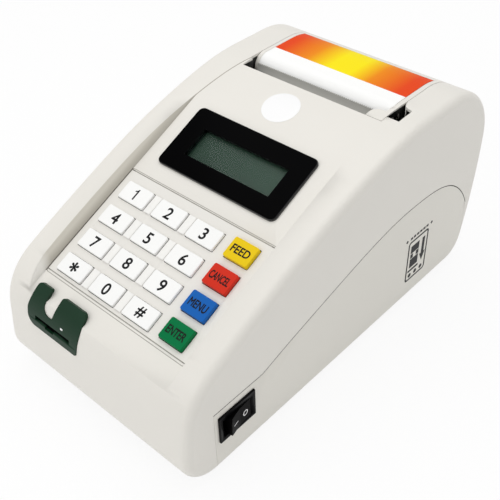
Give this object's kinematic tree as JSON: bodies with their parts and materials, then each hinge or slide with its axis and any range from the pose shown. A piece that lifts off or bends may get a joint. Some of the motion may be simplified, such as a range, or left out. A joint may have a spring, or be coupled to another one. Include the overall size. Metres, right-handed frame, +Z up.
{
  "type": "ticket register",
  "caption": "Desktop ticket register: sloping keypad and display in an ivory case, card reader in the nose, hinged paper lid over a roll printer with a toothed tear bar.",
  "frame": {"origin": "on the table under the middle of the case, at the feet's soles", "axes": "+Z up, -Y towards the nose and the user, +X the right-hand side with the rocker switch"},
  "size_m": [0.1187, 0.21, 0.1038],
  "materials": {
    "case_ivory": "fine satin moulding",
    "base_ivory": "fine satin moulding",
    "panel_grey": "fine matt",
    "key_white": "satin",
    "key_yellow": "satin",
    "key_red": "satin",
    "key_blue": "satin",
    "key_green": "satin",
    "silicone": "matt",
    "circuit_board": "solder mask",
    "chips": "matt",
    "bezel_black": "glossy",
    "display_glass": "clear",
    "display_metal": "dull tinned",
    "reader_green": "translucent green, glossy",
    "reader_black": "matt",
    "switch_black": "satin",
    "paper": "thermal paper, slightly glossy",
    "cardboard": "kraft board",
    "spindle_plastic": "satin",
    "well_plastic": "satin",
    "frame_steel": "zinc plated",
    "bright_steel": "bright",
    "platen_rubber": "ground rubber",
    "bush_plastic": "satin",
    "gear_plastic": "acetal",
    "pinion_brass": "bright",
    "motor_metal": "nickel plated",
    "head_ceramic": "glazed",
    "sink_aluminium": "extruded",
    "socket_black": "satin",
    "socket_metal": "bright",
    "battery_wrap": "shrink wrap",
    "screw_steel": "zinc plated",
    "foot_rubber": "matt"
  },
  "bodies": {
    "case": {"base_case": "base_ivory", "top_cover": "case_ivory", "keypad_plate": "panel_grey", "key_mat": "silicone", "key_board": "circuit_board", "display_bezel": "bezel_black", "display_window": "display_glass", "display_module": "display_metal", "card_bezel": "reader_green", "card_reader": "reader_black", "switch_housing": "switch_black", "lid_hinge_pin": "bright_steel", "paper_well": "well_plastic", "mechanism_frame": "frame_steel", "platen_bushes": "bush_plastic", "reducer_stud": "bright_steel", "feed_motor": "motor_metal", "print_head": "head_ceramic", "head_heat_sink": "sink_aluminium", "head_pivot_rod": "bright_steel", "head_springs": "bright_steel", "tear_bar": "bright_steel", "main_board": "circuit_board", "board_parts": "chips", "power_inlet": "socket_black", "data_port": "socket_metal", "sounder": "chips", "battery_pack": "battery_wrap", "case_screws": "screw_steel", "mechanism_screws": "screw_steel", "well_screws": "screw_steel", "board_screws": "screw_steel", "rubber_feet": "foot_rubber"},
    "rocker": {"switch_rocker": "switch_black"},
    "lid": {"paper_lid": "case_ivory", "ticket_strip": "paper"},
    "roll": {"paper_roll": "paper", "paper_core": "cardboard", "roll_spindle": "spindle_plastic"},
    "platen": {"platen_shaft": "bright_steel", "platen_sleeve": "platen_rubber", "platen_gear": "gear_plastic"},
    "reducer": {"reduction_gear": "gear_plastic"},
    "pinion": {"motor_pinion": "pinion_brass"},
    "key_star": {"key_star": "key_white"},
    "key_0": {"key_0": "key_white"},
    "key_hash": {"key_hash": "key_white"},
    "key_enter": {"key_enter": "key_green"},
    "key_7": {"key_7": "key_white"},
    "key_8": {"key_8": "key_white"},
    "key_9": {"key_9": "key_white"},
    "key_menu": {"key_menu": "key_blue"},
    "key_4": {"key_4": "key_white"},
    "key_5": {"key_5": "key_white"},
    "key_6": {"key_6": "key_white"},
    "key_cancel": {"key_cancel": "key_red"},
    "key_1": {"key_1": "key_white"},
    "key_2": {"key_2": "key_white"},
    "key_3": {"key_3": "key_white"},
    "key_feed": {"key_feed": "key_yellow"}
  },
  "joints": [
    {"name": "lid_hinge", "type": "hinge", "parent": "case", "child": "lid", "pos_m": [0, 0.08895, 0.09501], "axis": [-1, 0, 0], "range_deg": [0, 95]},
    {"name": "power_rocker", "type": "hinge", "parent": "case", "child": "rocker", "pos_m": [0.0561, -0.0764, 0.0251], "axis": [0, 0, -1], "range_deg": [0, 18]},
    {"name": "roll_spin", "type": "hinge", "parent": "case", "child": "roll", "pos_m": [0, 0.0765, 0.064], "axis": [1, 0, 0], "continuous": true},
    {"name": "platen_spin", "type": "hinge", "parent": "case", "child": "platen", "pos_m": [-0.04135, 0.05, 0.084], "axis": [1, 0, 0], "continuous": true},
    {"name": "reducer_spin", "type": "hinge", "parent": "case", "child": "reducer", "pos_m": [-0.04135, 0.03545, 0.0756], "axis": [1, 0, 0], "continuous": true},
    {"name": "pinion_spin", "type": "hinge", "parent": "case", "child": "pinion", "pos_m": [-0.04135, 0.0219, 0.07441], "axis": [1, 0, 0], "continuous": true},
    {"name": "key_star_press", "type": "slide", "parent": "case", "child": "key_star", "axis": [0, 0.4144, -0.9101], "range_m": [0, 0.0012], "stiffness_N_per_m": 400, "springref_m": -0.0008},
    {"name": "key_0_press", "type": "slide", "parent": "case", "child": "key_0", "axis": [0, 0.4144, -0.9101], "range_m": [0, 0.0012], "stiffness_N_per_m": 400, "springref_m": -0.0008},
    {"name": "key_hash_press", "type": "slide", "parent": "case", "child": "key_hash", "axis": [0, 0.4144, -0.9101], "range_m": [0, 0.0012], "stiffness_N_per_m": 400, "springref_m": -0.0008},
    {"name": "key_enter_press", "type": "slide", "parent": "case", "child": "key_enter", "axis": [0, 0.4144, -0.9101], "range_m": [0, 0.0012], "stiffness_N_per_m": 400, "springref_m": -0.0008},
    {"name": "key_7_press", "type": "slide", "parent": "case", "child": "key_7", "axis": [0, 0.4144, -0.9101], "range_m": [0, 0.0012], "stiffness_N_per_m": 400, "springref_m": -0.0008},
    {"name": "key_8_press", "type": "slide", "parent": "case", "child": "key_8", "axis": [0, 0.4144, -0.9101], "range_m": [0, 0.0012], "stiffness_N_per_m": 400, "springref_m": -0.0008},
    {"name": "key_9_press", "type": "slide", "parent": "case", "child": "key_9", "axis": [0, 0.4144, -0.9101], "range_m": [0, 0.0012], "stiffness_N_per_m": 400, "springref_m": -0.0008},
    {"name": "key_menu_press", "type": "slide", "parent": "case", "child": "key_menu", "axis": [0, 0.4144, -0.9101], "range_m": [0, 0.0012], "stiffness_N_per_m": 400, "springref_m": -0.0008},
    {"name": "key_4_press", "type": "slide", "parent": "case", "child": "key_4", "axis": [0, 0.4144, -0.9101], "range_m": [0, 0.0012], "stiffness_N_per_m": 400, "springref_m": -0.0008},
    {"name": "key_5_press", "type": "slide", "parent": "case", "child": "key_5", "axis": [0, 0.4144, -0.9101], "range_m": [0, 0.0012], "stiffness_N_per_m": 400, "springref_m": -0.0008},
    {"name": "key_6_press", "type": "slide", "parent": "case", "child": "key_6", "axis": [0, 0.4144, -0.9101], "range_m": [0, 0.0012], "stiffness_N_per_m": 400, "springref_m": -0.0008},
    {"name": "key_cancel_press", "type": "slide", "parent": "case", "child": "key_cancel", "axis": [0, 0.4144, -0.9101], "range_m": [0, 0.0012], "stiffness_N_per_m": 400, "springref_m": -0.0008},
    {"name": "key_1_press", "type": "slide", "parent": "case", "child": "key_1", "axis": [0, 0.4144, -0.9101], "range_m": [0, 0.0012], "stiffness_N_per_m": 400, "springref_m": -0.0008},
    {"name": "key_2_press", "type": "slide", "parent": "case", "child": "key_2", "axis": [0, 0.4144, -0.9101], "range_m": [0, 0.0012], "stiffness_N_per_m": 400, "springref_m": -0.0008},
    {"name": "key_3_press", "type": "slide", "parent": "case", "child": "key_3", "axis": [0, 0.4144, -0.9101], "range_m": [0, 0.0012], "stiffness_N_per_m": 400, "springref_m": -0.0008},
    {"name": "key_feed_press", "type": "slide", "parent": "case", "child": "key_feed", "axis": [0, 0.4144, -0.9101], "range_m": [0, 0.0012], "stiffness_N_per_m": 400, "springref_m": -0.0008}
  ],
  "couplings": [
    {"joint": "platen_spin", "follows": "roll_spin", "ratio": 4.1818},
    {"joint": "reducer_spin", "follows": "roll_spin", "ratio": -3.1364},
    {"joint": "pinion_spin", "follows": "roll_spin", "ratio": 7.5273}
  ]
}
